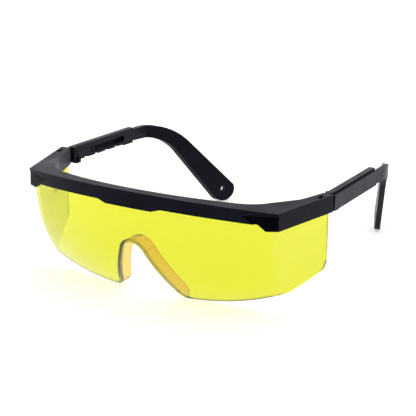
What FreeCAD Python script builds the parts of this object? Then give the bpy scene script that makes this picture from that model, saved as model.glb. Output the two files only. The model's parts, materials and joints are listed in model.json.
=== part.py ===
"""Safety glasses: one wrap-round lens in a black brow frame, with two temples
that tilt, fold and slide out to length.

Millimetres. X runs across the face, Y from the front back to the ears, Z up.
The front is drawn in its own frame (X = 0 on the middle, Y = 0 and Z = 0 at
the top front corners) and each temple in one at the top of its fold axis.
Their placements then pitch the front about the tilt axis, turn the temples
inward and stand the glasses on the ground with the origin under the middle.
"""

import FreeCAD, Part
import os
import re
import Sketcher

# name, value, what it is
SIZES = [
    ("front_half", 65.0, "half width across the top front corners"),
    ("front_bow", 18.0, "how far the middle stands in front of the corners"),
    ("brow_rise", 4.5, "how far the middle of the brow is above the corners"),
    ("brow_height", 6.1, "height of the brow bar"),
    ("brow_depth", 4.9, "front to back of the brow bar at the middle"),
    ("drop_half", 11.7, "half width of the deeper middle of the brow"),
    ("drop_step", 1.5, "how much deeper the middle is"),
    ("drop_slope", 4.4, "length of each step up from the deeper middle"),
    ("corner_height", 8.2, "height of the corner blocks and side arms"),
    ("corner_length", 8.0, "width of a corner under its full-height part"),
    ("corner_slope", 3.2, "width over which it deepens"),
    ("arm_flare", 8.2, "how far the side arms flare out on their way back"),
    ("arm_back", 38.5, "rear of the side arms behind the corners"),
    ("arm_end_width", 5.1, "width of a side arm at its rear"),
    ("gusset_length", 23.0, "where the bar starts to widen, from the corner"),
    ("gusset_back", -3.6, "rear edge of the brow there"),
    ("gusset_radius", 25.0, "curve of its rear edge into the side arm"),
    ("gusset_turn_in", 10.0, "where that curve ends, from the corner"),
    ("gusset_turn_back", 7.0, "how far back it ends"),
    ("block_in", 1.2, "inner side of the hinge block at its front, from the corner"),
    ("block_length", 14.0, "length of the solid hinge block on a side arm"),
    ("roof", 1.2, "thickness of the top of the brow"),
    ("core_wall", 1.95, "wall between the cored corner and the faces beside it"),
    ("rib", 1.3, "wall behind the lens groove and round the cored corner"),
    ("recess_depth", 0.85, "depth of the sunk face on a corner"),
    ("recess_foot", 1.5, "height of its square foot above the corner's lower edge"),
    ("recess_lip", 1.1, "height of the lip above the sunk face"),
    ("recess_length", 14.0, "length of the sunk face at the top"),
    ("recess_slope", 7.0, "how far its edge runs outward on its way down"),
    ("lens_inset", 1.5, "front of the lens behind the front of the brow"),
    ("lens_thickness", 1.8, "thickness of the lens"),
    ("lens_gap", 0.1, "room round the lens in its groove"),
    ("lens_side", 3.0, "bends of the lens inside the corners of the brow"),
    ("lens_lean", 0.06, "how fast the bends lean inward on the way down"),
    ("lens_straight", 8.3, "depth over which the lens is upright"),
    ("lens_roll", 43.0, "radius by which it then rolls under the cheeks"),
    ("shield_side", 2.0, "rear of the side shields inside the arms"),
    ("shield_short", 0.3, "rear edge of the side shields before the arms' ends"),
    ("shield_bottom", 36.4, "depth where the lower edge meets the rear one"),
    ("shield_rise_back", 17.5, "where that lower edge starts to rise"),
    ("shield_round", 5.0, "where the rounding between those two edges starts"),
    ("shield_radius", 5.1, "radius of that rounding"),
    ("lens_bottom", 49.4, "depth of the lowest edge of the lens"),
    ("rim_half", 26.0, "half width of the blank that the nose rim is cut from"),
    ("bend_lean", 1.4, "lower corners of the lens inside its upper bends"),
    ("bend_bottom", 42.3, "depth of the lower corners of the lens"),
    ("cheek_radius", 115.0, "curve of the lower edge"),
    ("nose_top", 20.5, "depth of the top of the nose arch"),
    ("nose_top_radius", 5.6, "curve of the top of the nose arch"),
    ("nose_slope", 23.5, "slope of the nose arch sides, degrees"),
    ("nose_foot_radius", 5.0, "rounding of the feet beside the arch"),
    ("nose_lip", 1.6, "thickness of the rim of the nose arch"),
    ("nose_reach", 9.0, "how far that rim runs back"),
    ("tilt_in", 4.0, "tilt axis before the arms' ends"),
    ("tilt_depth", 4.4, "tilt axis below the tops of the side arms"),
    ("disc_radius", 2.6, "radius of the round nose of a hinge block"),
    ("disc_width", 1.6, "thickness of a hinge block's nose and neck"),
    ("slot_out", 0.6, "middle of the slot outside the fold axis"),
    ("slot_gap", 0.1, "room on each side of the nose in its slot"),
    ("slot_reach", 2.9, "front end of the slot before the tilt axis"),
    ("window_reach", 4.7, "front end of the opening above the slot, likewise"),
    ("window_short", 0.3, "rear end of that opening, likewise"),
    ("trunnion_radius", 0.9, "radius of the stub axles of a hinge block"),
    ("trunnion_length", 0.6, "how far each stub axle stands out"),
    ("hinge_gap", 0.05, "radial running room of the tilt and fold axles"),
    ("pin_gap", 0.02, "radial room of the hinge pin in the rail's lugs"),
    ("neck_height", 2.8, "height of a hinge block's neck"),
    ("fold_side", 3.9, "fold axis inside the outer face of the arm"),
    ("fold_behind", 3.5, "fold axis behind the arms' ends"),
    ("barrel_radius", 1.9, "radius of the hinge barrel and lugs"),
    ("barrel_top", 2.2, "depth of the top of the hinge barrel"),
    ("barrel_height", 3.6, "height of the hinge barrel"),
    ("pin_radius", 0.8, "radius of the hinge pin"),
    ("pin_top", 1.0, "depth of the top of the hinge pin"),
    ("pin_length", 6.0, "length of the hinge pin"),
    ("lug_gap", 0.1, "room between the barrel and each lug"),
    ("temple_yaw", 2.3, "turn of each temple inward, degrees"),
    ("beyond", 5.0, "how far a cutting outline runs past the piece it cuts"),
    ("front_pitch", 1.8, "pitch of the front on the tilt axis, degrees"),
    ("temple_top", 0.2, "depth of the top of the temples"),
    ("rail_height", 7.2, "height of the rail"),
    ("rail_length", 51.0, "rear end of the rail behind the fold axis"),
    ("rail_front", 2.6, "front end of the rail's web"),
    ("web_inner", 1.0, "inner face of the web from the fold axis"),
    ("lug_arm", 0.6, "how much thicker than the web the lower lug arm is"),
    ("web_outer", 0.4, "outer face of the web from the fold axis"),
    ("flange_room", 0.1, "room between the rail's top flange and the outer plate"),
    ("flange_height", 1.2, "thickness of the top flange"),
    ("stop_length", 8.0, "length of the deeper block at the rail's end"),
    ("stop_drop", 0.6, "how much deeper that block is"),
    ("notch_pitch", 8.7, "step between the length settings"),
    ("notch_length", 2.6, "length of each notch under the rail"),
    ("notch_depth", 0.9, "depth of each notch"),
    ("notch_front", 9.0, "front of the first notch"),
    ("plate_room", 0.2, "room between the barrel and the outer plate"),
    ("plate_thickness", 1.5, "thickness of the outer plate"),
    ("plate_front", -1.4, "front end of the outer plate"),
    ("plate_short", 1.6, "rear end of the deep plate before the ear piece"),
    ("plate_over", 0.9, "how much taller the outer plate is than the rail"),
    ("stud_front", 15.0, "front of the stud that runs in the rail's slot"),
    ("stud_length", 1.5, "length of the stud"),
    ("stud_height", 2.6, "height of the stud"),
    ("stud_depth", 3.0, "depth of the top of the stud"),
    ("stud_gap", 0.2, "room round the stud in the slot"),
    ("stud_reach", 0.3, "how far the stud stands through the web"),
    ("jaw_front", 0.5, "front of the jaw that holds the rail"),
    ("jaw_room", 0.3, "room between the hinge barrel and the jaw's lip"),
    ("jaw_length", 3.7, "length of the jaw"),
    ("jaw_gap", 0.2, "room between the jaw and the rail"),
    ("jaw_thickness", 0.9, "thickness of the jaw"),
    ("jaw_rise", 1.6, "height of its lip behind the rail"),
    ("blade_lap", 2.0, "how far the outer plate runs into the ear piece"),
    ("blade_gap", 0.4, "room between the rail and the ear piece"),
    ("blade_thickness", 2.8, "thickness of the ear piece"),
    ("blade_height", 6.4, "height of the ear piece before it drops"),
    ("blade_sink", 1.8, "its top below the top of the temple"),
    ("blade_step", 0.8, "how far its lower edge is below the plate's rear step"),
    ("plate_sink", 0.9, "top of the outer plate below the top of the rail"),
    ("ear_drop", 57.1, "length of the ear piece that drops, to its end"),
    ("ear_top_radius", 40.0, "curve of its upper edge"),
    ("ear_top_angle", 45.0, "slope of its upper edge, degrees"),
    ("ear_low_radius", 28.3, "curve of its lower edge"),
    ("ear_low_angle", 51.0, "slope of its lower edge, degrees"),
    ("ear_turn", 23.3, "turn of the ear piece inward, degrees"),
    ("ear_turn_behind", 3.5, "where it turns inward, behind where it starts to drop"),
    ("ear_turn_radius", 36.0, "outside radius of that turn"),
    ("tip_back", 119.6, "rear end of the ear piece"),
    ("tip_bottom", 50.4, "depth of the lowest point of the ear piece"),
    ("tip_shoulder", 0.7, "its rear upper corner in front of its rear end"),
    ("tip_round", 7.6, "radius of the lower side of its end"),
    ("tip_nose", 6.0, "radius of the rear side of its end"),
    ("cord_hole_radius", 1.5, "radius of the hole for a neck cord"),
    ("cord_hole_in", 5.9, "cord hole before the end of the ear piece"),
    ("cord_hole_up", 6.8, "cord hole above its lowest point"),
]
# places that follow from the sizes: name, expression in sizes given above it
PLACES = [
    ("arm_end_half", "front_half+arm_flare"),
    ("lens_half", "front_half-lens_side"),
    ("tilt_back", "arm_back-tilt_in"),
    ("fold_half", "arm_end_half-fold_side"),
    ("blade_front", "rail_length+blade_gap"),
    ("corner_start", "front_half-corner_length"),
    ("gusset_half", "front_half-gusset_length"),
    ("gusset_turn_half", "front_half-gusset_turn_in"),
    ("block_half", "front_half-block_in"),
    ("recess_half", "front_half-recess_length"),
    ("shield_half", "arm_end_half-shield_side"),
    ("bend_half", "lens_half-bend_lean"),
    ("slot_half", "fold_half+slot_out"),
    ("shield_back", "arm_back-shield_short"),
    ("block_front", "arm_back-block_length"),
    ("fold_back", "arm_back+fold_behind"),
    ("slot_front", "tilt_back-slot_reach"),
    ("window_front", "tilt_back-window_reach"),
    ("window_back", "tilt_back-window_short"),
    ("cord_hole_back", "tip_back-cord_hole_in"),
    ("cord_hole_depth", "tip_bottom-cord_hole_up"),
    ("plate_back", "blade_front-plate_short"),
    ("plate_height", "rail_height+plate_over"),
    ("plate_inner", "barrel_radius+plate_room"),
    ("flange_outer", "plate_inner-flange_room"),
    ("ear_back", "tip_back-ear_drop"),
    ("ear_turn_back", "ear_back+ear_turn_behind"),
]
NOTCHES = 4
LENS_SECTIONS = 6
FAR = 200.0
UP = FreeCAD.Vector(0, 0, 1)
BACK = FreeCAD.Vector(0, 1, 0)
ACROSS = FreeCAD.Vector(1, 0, 0)
# plane: turn of the sketch, direction it is extruded in, axis of its offset
PLANES = {
    "plan": (FreeCAD.Rotation(), UP, "z"),
    "front": (FreeCAD.Rotation(ACROSS, 90), BACK, "y"),
    "side": (FreeCAD.Rotation(FreeCAD.Vector(1, 1, 1), 120), ACROSS, "x"),
}

doc = FreeCAD.newDocument("safety_glasses")
sheet = doc.addObject("Spreadsheet::Sheet", "Sizes")
for row, (alias, value, note) in enumerate(SIZES, start=1):
    sheet.set(f"A{row}", alias)
    sheet.set(f"B{row}", str(value))
    sheet.set(f"C{row}", note)
    sheet.setAlias(f"B{row}", alias)
for row, (alias, text) in enumerate(PLACES, start=len(SIZES) + 1):
    sheet.set(f"A{row}", alias)
    sheet.set(f"B{row}", f"={text}")
    sheet.setAlias(f"B{row}", alias)
doc.recompute()
ALIASES = re.compile(r"\b(" + "|".join(name[0] for name in SIZES + PLACES) + r")\b")


def bound(text):
    """The expression with each size's name pointing at its cell."""
    return ALIASES.sub(r"Sizes.\1", str(text))


def number(text):
    """The value of an expression in the sizes, now."""
    return float(sheet.evalExpression(str(text)))


def place(item, across="0", back="0", up="0"):
    """Bind where an object stands."""
    for axis, text in (("x", across), ("y", back), ("z", up)):
        item.setExpression(f"Placement.Base.{axis}", bound(text))


def arc_between(start, end, radius):
    """The short arc between two points, to the left or right by sign."""
    chord = end - start
    middle = (start + end) * 0.5
    left = FreeCAD.Vector(-chord.y, chord.x, 0).normalize()
    half = chord.Length / 2
    size = abs(radius)
    side = 1 if radius > 0 else -1
    centre = middle + left * side * (size * size - half * half) ** 0.5
    bulge = centre - left * side * size
    return Part.Arc(start, bulge, end)


def profile(name, plane, points, offset="0"):
    """A closed sketch through points given as expressions in the sizes.

    A point is (x, y), or (x, y, radius) where the edge to the next point is
    an arc: a positive radius bulges to the right of the way there.
    """
    turn, _, axis = PLANES[plane]
    sketch = doc.addObject("Sketcher::SketchObject", name)
    sketch.Placement = FreeCAD.Placement(FreeCAD.Vector(), turn)
    sketch.setExpression(f"Placement.Base.{axis}", bound(offset))
    spots = [FreeCAD.Vector(number(p[0]), number(p[1]), 0) for p in points]
    ends = []
    for index, point in enumerate(points):
        start = spots[index]
        end = spots[(index + 1) % len(points)]
        if len(point) == 2:
            sketch.addGeometry(Part.LineSegment(start, end), False)
            ends.append((1, 2))
            continue
        sketch.addGeometry(arc_between(start, end, number(point[2])), False)
        first = sketch.getPoint(index, 1)
        ends.append((1, 2) if first.isEqual(start, 1e-6) else (2, 1))
    for index, point in enumerate(points):
        after = (index + 1) % len(points)
        sketch.addConstraint(
            Sketcher.Constraint("Coincident", index, ends[index][1], after, ends[after][0])
        )
        for kind, text, value in (
            ("DistanceX", point[0], spots[index].x),
            ("DistanceY", point[1], spots[index].y),
        ):
            key = sketch.addConstraint(
                Sketcher.Constraint(kind, -1, 1, index, ends[index][0], value)
            )
            sketch.setExpression(f"Constraints[{key}]", bound(text))
        if len(point) == 3:
            size = abs(number(point[2]))
            key = sketch.addConstraint(Sketcher.Constraint("Radius", index, size))
            sketch.setExpression(f"Constraints[{key}]", bound(f"abs({point[2]})"))
    return sketch


def prism(name, plane, points, start, end):
    """A profile carried straight from one offset to another."""
    sketch = profile(f"{name}_outline", plane, points, start)
    solid = doc.addObject("Part::Extrusion", name)
    solid.Base = sketch
    solid.DirMode = "Custom"
    solid.Dir = PLANES[plane][1]
    solid.Solid = True
    solid.setExpression("LengthFwd", bound(f"({end})-({start})"))
    return solid


def block(name, across, back, up):
    """A box between pairs of expressions along X, Y and Z."""
    solid = doc.addObject("Part::Box", name)
    for size, (low, high) in (("Length", across), ("Width", back), ("Height", up)):
        solid.setExpression(size, bound(f"({high})-({low})"))
    place(solid, across[0], back[0], up[0])
    return solid


def rod(name, radius, length, direction, across, back, up):
    """A cylinder from a point along a direction."""
    solid = doc.addObject("Part::Cylinder", name)
    solid.Placement = FreeCAD.Placement(
        FreeCAD.Vector(), FreeCAD.Rotation(UP, direction)
    )
    solid.setExpression("Radius", bound(radius))
    solid.setExpression("Height", bound(length))
    place(solid, across, back, up)
    return solid


def combine(kind, name, solids):
    """One boolean of several objects."""
    result = doc.addObject(f"Part::{kind}", name)
    result.Shapes = solids
    return result


def fuse(name, *solids):
    return combine("MultiFuse", name, list(solids))


def common(name, *solids):
    return combine("MultiCommon", name, list(solids))


def cut(name, base, *tools):
    """The base less every tool."""
    result = doc.addObject("Part::Cut", name)
    result.Base = base
    result.Tool = tools[0] if len(tools) == 1 else fuse(f"{name}_tools", *tools)
    return result


def mirror(name, source):
    """The same shape on the other side of the middle."""
    twin = doc.addObject("Part::Mirroring", name)
    twin.Source = source
    twin.Base = FreeCAD.Vector()
    twin.Normal = ACROSS
    return twin


def mirrored(half):
    """A whole outline from its right half, drawn from the middle outward.

    The half's first and last points lie on the middle line, and an arc that
    starts at a point of the half runs backward on the other side.
    """
    left = []
    for index in range(len(half) - 1, 0, -1):
        point = half[index]
        before = half[index - 1]
        spot = (f"-({point[0]})", point[1])
        left.append(spot + (before[2],) if len(before) == 3 else spot)
    return half[:-1] + left


def arc_radius(half_chord, rise):
    """The radius of an arc from half its chord and its rise."""
    return f"((({half_chord})^2+({rise})^2)/(2*({rise})))"


FRONT_RADIUS = arc_radius("front_half", "front_bow")
TOP_RADIUS = arc_radius("front_half", "brow_rise")


def front_at(half, inset="0"):
    """Y of the front arc, moved back by an inset, at a distance out."""
    return f"({inset})-front_bow+{FRONT_RADIUS}-sqrt({FRONT_RADIUS}^2-({half})^2)"


def top_at(half, down="0"):
    """Z of the brow's arched top, moved down, at a distance out."""
    return (
        f"brow_rise-({down})-{TOP_RADIUS}"
        f"+sqrt({TOP_RADIUS}^2-({half})^2)"
    )


def bow(half, inset):
    """The two ends of the front arc, left to right, as profile points."""
    reach = front_at(half, inset)
    return [(f"-({half})", reach, FRONT_RADIUS), (half, reach)]


# ---- lens ----------------------------------------------------------------


def rolled(drop):
    """How far back the lens has rolled at a depth below its upright part."""
    return f"(({drop})^2/(2*lens_roll))"


def lens_band(name, depth, gap="0"):
    """A level section of the lens, both shields and the front, at a depth.

    The front arc keeps its radius and moves back as the lens rolls under.
    """
    drop = f"({depth}-lens_straight)" if number(depth) > number("lens_straight") else "0"
    half = f"(lens_half-lens_lean*{drop})"
    level = f"(lens_thickness*sqrt(1+(({drop})/lens_roll)^2))"
    outer_inset = f"lens_inset-({gap})+{rolled(drop)}"
    inner_inset = f"lens_inset+{level}+({gap})+{rolled(drop)}"
    outer_half = f"{half}+({gap})"
    inner_half = f"{half}-lens_thickness-({gap})"
    outer_end = f"shield_half+({gap})"
    inner_end = f"shield_half-lens_thickness-({gap})"
    rear = f"shield_back+2*({gap})"
    points = [
        (f"-({outer_end})", rear),
        (f"-({outer_half})", front_at(outer_half, outer_inset), FRONT_RADIUS),
        (outer_half, front_at(outer_half, outer_inset)),
        (outer_end, rear),
        (inner_end, rear),
        (inner_half, front_at(inner_half, inner_inset), f"-{FRONT_RADIUS}"),
        (f"-({inner_half})", front_at(inner_half, inner_inset)),
        (f"-({inner_end})", rear),
    ]
    return profile(name, "plan", points, f"-({depth})")


def lens_tongue(name, top, gap="0"):
    """The upright top of the lens, or with a gap the groove that takes it."""
    band = lens_band(f"{name}_outline", "lens_straight", gap)
    solid = doc.addObject("Part::Extrusion", name)
    solid.Base = band
    solid.DirMode = "Custom"
    solid.Dir = UP
    solid.Solid = True
    solid.setExpression("LengthFwd", bound(f"lens_straight+({top})"))
    return solid


def section_depth(index):
    """Depths of the lens sections, from the upright part to its lower edge."""
    share = index / (LENS_SECTIONS - 1)
    return f"(lens_straight+(lens_bottom+2-lens_straight)*{share})"


def rim_band(name, depth):
    """A level section of the deep band that the rim of the nose is cut from."""
    drop = f"({depth}-lens_straight)"
    half = "rim_half"
    outer = f"lens_inset+{rolled(drop)}"
    inner = f"lens_inset+nose_reach+{rolled(drop)}"
    points = [
        (f"-{half}", front_at(half, outer), FRONT_RADIUS),
        (half, front_at(half, outer)),
        (half, front_at(half, inner), f"-{FRONT_RADIUS}"),
        (f"-{half}", front_at(half, inner)),
    ]
    return profile(name, "plan", points, f"-({depth})")


def loft(name, sections):
    solid = doc.addObject("Part::Loft", name)
    solid.Sections = sections
    solid.Solid = True
    solid.Ruled = False
    return solid


def nose_arch(widen):
    """Right half of the nose arch's outline, from its top down to its foot."""
    shoulder = f"(nose_top_radius+({widen}))*cos(nose_slope)"
    shoulder_down = f"nose_top+nose_top_radius-(nose_top_radius+({widen}))*sin(nose_slope)"
    foot_down = "lens_bottom-nose_foot_radius*(1-sin(nose_slope))"
    foot = f"{shoulder}+({foot_down}-({shoulder_down}))*tan(nose_slope)"
    return [
        ("0", f"-(nose_top-({widen}))", f"-(nose_top_radius+({widen}))"),
        (shoulder, f"-({shoulder_down})"),
        (foot, f"-({foot_down})"),
    ]


def lens_keep():
    """Front view of the lens: arched top, lower edge and nose arch."""
    roof_down = "roof+lens_gap"
    arch = nose_arch("0")
    foot = arch[2]
    half = [
        ("0", f"brow_rise-({roof_down})", f"-{TOP_RADIUS}"),
        ("front_half", top_at("front_half", roof_down)),
        ("front_half+3*beyond", f"-({roof_down})"),
        ("front_half+3*beyond", "-lens_bottom-beyond"),
        ("bend_half", "-lens_bottom-beyond"),
        ("bend_half", "-bend_bottom", "-cheek_radius"),
        (f"{foot[0]}+nose_foot_radius*cos(nose_slope)", "-lens_bottom", "-nose_foot_radius"),
        (foot[0], foot[1]),
        (arch[1][0], arch[1][1], "nose_top_radius"),
        ("0", arch[0][1]),
    ]
    return prism("lens_front_view", "front", mirrored(half), "-40", "80")


def shield_keep():
    """Side view of the lens: shields end below the hinge blocks."""
    bend_back = front_at("bend_half", "lens_inset+" + rolled("(bend_bottom-lens_straight)"))
    points = [
        ("-40", "20"),
        ("-40", "-lens_bottom-beyond"),
        (bend_back, "-lens_bottom-beyond"),
        (bend_back, "-bend_bottom"),
        ("shield_rise_back", "-bend_bottom"),
        ("shield_back-shield_round", "-shield_bottom", "shield_radius"),
        ("shield_back", "-(shield_bottom-shield_round)"),
        ("shield_back", "-(corner_height+lens_gap)"),
        ("block_front-lens_gap", "-(corner_height+lens_gap)"),
        ("block_front-lens_gap", "20"),
    ]
    return prism("lens_side_view", "side", points, "-90", "90")


def make_lens():
    """One moulding: front, both side shields and the rim of the nose arch."""
    tongue = lens_tongue("lens_top", "brow_rise")
    sections = [
        lens_band(f"lens_section_{index}", section_depth(index))
        for index in range(LENS_SECTIONS)
    ]
    body = fuse("lens_body", tongue, loft("lens_shell", sections))
    sheet_part = common("lens_sheet", body, lens_keep(), shield_keep())
    inner = nose_arch("0")
    outer = nose_arch("nose_lip")
    ring = [outer[0], outer[1], outer[2], inner[2]]
    ring.append((inner[1][0], inner[1][1], "nose_top_radius"))
    ring.append(("0", inner[0][1]))
    arch = prism("nose_ring", "front", mirrored(ring), "-40", "80")
    deep = [
        rim_band(f"nose_section_{index}", section_depth(index))
        for index in range(LENS_SECTIONS)
    ]
    rim = common("nose_rim", arch, loft("nose_band", deep))
    return fuse("lens_whole", sheet_part, rim)


# ---- brow frame ------------------------------------------------------------


def brow_plan():
    """The brow frame from above."""
    rear_radius = arc_radius("gusset_half", "(gusset_back+front_bow-brow_depth)")
    half = [
        ("0", "-front_bow", FRONT_RADIUS),
        ("front_half", "0"),
        ("arm_end_half", "arm_back"),
        ("arm_end_half-arm_end_width", "arm_back"),
        ("block_half", "block_front-1"),
        ("gusset_turn_half", "gusset_turn_back", "-gusset_radius"),
        ("gusset_half", "gusset_back", f"-{rear_radius}"),
        ("0", "brow_depth-front_bow"),
    ]
    return prism("brow_plan", "plan", mirrored(half), "-20", "20")


def brow_front(name, roof_down, extra):
    """The brow frame from the front, its top moved down and floor moved."""
    half = [
        ("0", f"brow_rise-({roof_down})", f"-{TOP_RADIUS}"),
        ("front_half", top_at("front_half", roof_down)),
        ("arm_end_half+beyond", f"-({roof_down})"),
        ("arm_end_half+beyond", f"-corner_height-({extra})"),
        ("corner_start+corner_slope", f"-corner_height-({extra})"),
        ("corner_start", top_at("corner_start", f"brow_height+({extra})"), TOP_RADIUS),
        ("drop_half+drop_slope", top_at("drop_half+drop_slope", f"brow_height+({extra})")),
        ("drop_half", top_at("drop_half", f"brow_height+drop_step+({extra})"), TOP_RADIUS),
        ("0", f"brow_rise-brow_height-drop_step-({extra})"),
    ]
    return prism(name, "front", mirrored(half), "-40", "60")


def corner_recess(side):
    """The sunk face of one front corner, under its lip."""
    band = [
        (f"{side}(recess_half-2)", front_at("recess_half-2", "-2")),
        (f"{side}(front_half+beyond)", front_at("recess_half-2", "-2")),
        (f"{side}(front_half+beyond)", front_at("front_half", "recess_depth")),
        (f"{side}front_half", front_at("front_half", "recess_depth")),
    ]
    last = (f"{side}(recess_half-2)", front_at("recess_half-2", "recess_depth"))
    sign = "" if side == "-" else "-"
    band[3] = band[3] + (f"{sign}{FRONT_RADIUS}",)
    word = "left" if side == "" else "right"
    layer = prism(f"recess_layer_{word}", "plan", band + [last], "-20", "20")
    face = [
        (f"{side}recess_half", "-recess_lip"),
        (f"{side}(front_half+beyond)", "-recess_lip"),
        (f"{side}(front_half+beyond)", "-corner_height-beyond"),
        (f"{side}(recess_half+recess_slope)", "-corner_height-beyond"),
        (f"{side}(recess_half+recess_slope)", "-corner_height+recess_foot"),
    ]
    view = prism(f"recess_view_{word}", "front", face, "-40", "30")
    return common(f"corner_recess_{word}", layer, view)


def corner_core():
    """The hollow moulded under the left corner, open from below."""
    points = [
        ("gusset_turn_half+core_wall", "gusset_turn_back+rib"),
        ("lens_half-lens_thickness-lens_gap-core_wall", "gusset_turn_back+rib"),
        (
            "lens_half-lens_thickness-lens_gap-rib"
            "+(shield_half-lens_half)*(block_front-rib)/shield_back",
            "block_front-rib*2",
        ),
        ("block_half-rib*0.2", "block_front-rib*2"),
    ]
    return prism("corner_core", "plan", points, "-20", "-roof")


def hinge_slot():
    """Slot, roof opening and axle holes for the left hinge block."""
    inner = "slot_half-disc_width/2-slot_gap"
    outer = "slot_half+disc_width/2+slot_gap"
    slot = block("slot", (inner, outer), ("slot_front", "arm_back+5"), ("-20", "-roof"))
    window = block("window", (inner, outer), ("window_front", "window_back"), ("-roof-1", "5"))
    front = block("window_pit", (inner, outer), ("window_front", "slot_front+1"), ("-3*roof", "0"))
    holes = rod(
        "axle_holes", "trunnion_radius+hinge_gap",
        "disc_width+2*trunnion_length+4*slot_gap", ACROSS,
        "slot_half-disc_width/2-trunnion_length-2*slot_gap", "tilt_back", "-tilt_depth",
    )
    return fuse("hinge_slot", slot, window, front, holes)


def make_brow():
    """The black frame: bar, corners and side arms, with the lens groove."""
    whole = common("brow_solid", brow_plan(), brow_front("brow_view", "0", "0"))
    groove_band = lens_tongue("groove_band", "brow_rise", "lens_gap")
    groove_stop = block("groove_stop", ("-90", "90"), ("-40", "block_front"), ("-30", "30"))
    groove_view = brow_front("groove_view", "roof", "10")
    groove = common("groove", groove_band, groove_view, groove_stop)
    core = corner_core()
    slot = hinge_slot()
    return cut(
        "brow_whole", whole, groove, core, mirror("core_right", core), slot,
        mirror("slot_right", slot), corner_recess(""), corner_recess("-"),
    )


# ---- temples ---------------------------------------------------------------


def make_hinge_block():
    """Left hinge block: round nose with stub axles, neck and barrel."""
    nose_across = "slot_half-fold_half-disc_width/2"
    nose_back = "tilt_back-fold_back"
    nose = rod("nose_disc", "disc_radius", "disc_width", ACROSS, nose_across, nose_back, "-tilt_depth")
    axles = rod(
        "stub_axles", "trunnion_radius", "disc_width+2*trunnion_length", ACROSS,
        f"{nose_across}-trunnion_length", nose_back, "-tilt_depth",
    )
    neck = block(
        "neck", (nose_across, f"{nose_across}+disc_width"), (nose_back, "0"),
        ("-tilt_depth-neck_height/2", "-tilt_depth+neck_height/2"),
    )
    barrel = rod(
        "barrel", "barrel_radius", "barrel_height", UP, "0", "0", "-barrel_top-barrel_height"
    )
    bore = rod("barrel_bore", "pin_radius+hinge_gap", FAR, UP, "0", "0", "-100")
    return cut("block_whole", fuse("block_solid", nose, axles, neck, barrel), bore)


def make_pin():
    """Left hinge pin, drawn from its lower end."""
    return rod("pin", "pin_radius", "pin_length", UP, "0", "0", "0")


def make_rail():
    """Left rail: two lugs on the pin, a slotted web and a top flange."""
    low = "-temple_top-rail_height"
    lug_bottom = "-(barrel_top-lug_gap)"
    lug_top = "-(barrel_top+barrel_height+lug_gap)"
    upper = rod("lug_top", "barrel_radius", f"-temple_top-({lug_bottom})", UP, "0", "0", lug_bottom)
    lower = rod("lug_low", "barrel_radius", f"{lug_top}-({low})", UP, "0", "0", low)
    arm_across = ("-web_inner", "barrel_radius")
    upper_arm = block("arm_top", arm_across, ("0", "rail_front+1"), (lug_bottom, "-temple_top"))
    lower_arm = block("arm_low", ("-web_inner", "web_outer+lug_arm"), ("0", "rail_front+1"), (low, lug_top))
    web = block("web", ("-web_inner", "web_outer"), ("rail_front", "rail_length"), (low, "-temple_top"))
    flange = block(
        "flange", ("-web_inner", "flange_outer"), ("rail_front", "rail_length"),
        ("-temple_top-flange_height", "-temple_top"),
    )
    stop = block(
        "stop", ("-web_inner", "web_outer"), ("rail_length-stop_length", "rail_length"),
        (f"{low}-stop_drop", "-temple_top"),
    )
    solid = fuse("rail_solid", upper, lower, upper_arm, lower_arm, web, flange, stop)
    travel = f"{NOTCHES - 1}*notch_pitch"
    slot = block(
        "stud_slot", ("-web_inner-1", "web_outer+1"),
        ("stud_front-stud_gap", f"stud_front+stud_length+{travel}+stud_gap"),
        ("-stud_depth-stud_height-stud_gap", "-stud_depth+stud_gap"),
    )
    notches = [
        block(
            f"notch_{index + 1}", ("-web_inner-1", "web_outer+1"),
            (f"notch_front+{index}*notch_pitch", f"notch_front+{index}*notch_pitch+notch_length"),
            (f"{low}-1", f"{low}+notch_depth"),
        )
        for index in range(NOTCHES)
    ]
    bore = rod("lug_bore", "pin_radius+pin_gap", "pin_length", UP, "0", "0", "-pin_top-pin_length")
    return cut("rail_whole", solid, slot, bore, *notches)


def ear_plan():
    """The ear piece from above: straight, then turned inward."""
    outer = "(plate_inner+plate_thickness)"
    inner = f"({outer}-blade_thickness)"
    lead = "(ear_turn_radius*tan(ear_turn/2))"
    leave = (f"{outer}-{lead}*sin(ear_turn)", f"ear_turn_back+{lead}*cos(ear_turn)")
    run = "(tip_back+8-ear_turn_back)/cos(ear_turn)"
    end = (f"{leave[0]}-{run}*sin(ear_turn)", f"{leave[1]}+{run}*cos(ear_turn)")
    return [
        (inner, "blade_front"),
        (outer, "blade_front"),
        (outer, f"ear_turn_back-{lead}", "ear_turn_radius"),
        leave,
        end,
        (f"{end[0]}-blade_thickness*cos(ear_turn)", f"{end[1]}-blade_thickness*sin(ear_turn)"),
        (inner, "ear_turn_back-blade_thickness*tan(ear_turn/2)"),
    ]


def ear_side():
    """The ear piece from the side: it drops behind the ear to a round end."""
    top = "(temple_top+blade_sink)"
    low = f"({top}+blade_height)"
    top_end = (
        "(ear_back+ear_top_radius*sin(ear_top_angle))",
        f"({top}+ear_top_radius*(1-cos(ear_top_angle)))",
    )
    low_end = (
        "(ear_back+ear_low_radius*sin(ear_low_angle))",
        f"({low}+ear_low_radius*(1-cos(ear_low_angle)))",
    )
    shoulder = "(tip_back-tip_shoulder)"
    heel = "(tip_bottom-tip_round*(1-cos(ear_low_angle)))"
    heel_back = f"({low_end[0]}+({heel}-{low_end[1]})/tan(ear_low_angle))"
    return [
        ("blade_front-4", f"-{top}"),
        ("blade_front-4", f"-{low}+1"),
        ("ear_back", f"-{low}", "-ear_low_radius"),
        (low_end[0], f"-{low_end[1]}"),
        (heel_back, f"-{heel}", "tip_round"),
        (f"{heel_back}+tip_round*sin(ear_low_angle)", "-tip_bottom", "tip_nose"),
        (shoulder, f"-({top_end[1]}+({shoulder}-{top_end[0]})*tan(ear_top_angle))"),
        (top_end[0], f"-{top_end[1]}", "ear_top_radius"),
        ("ear_back", f"-{top}"),
    ]


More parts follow.
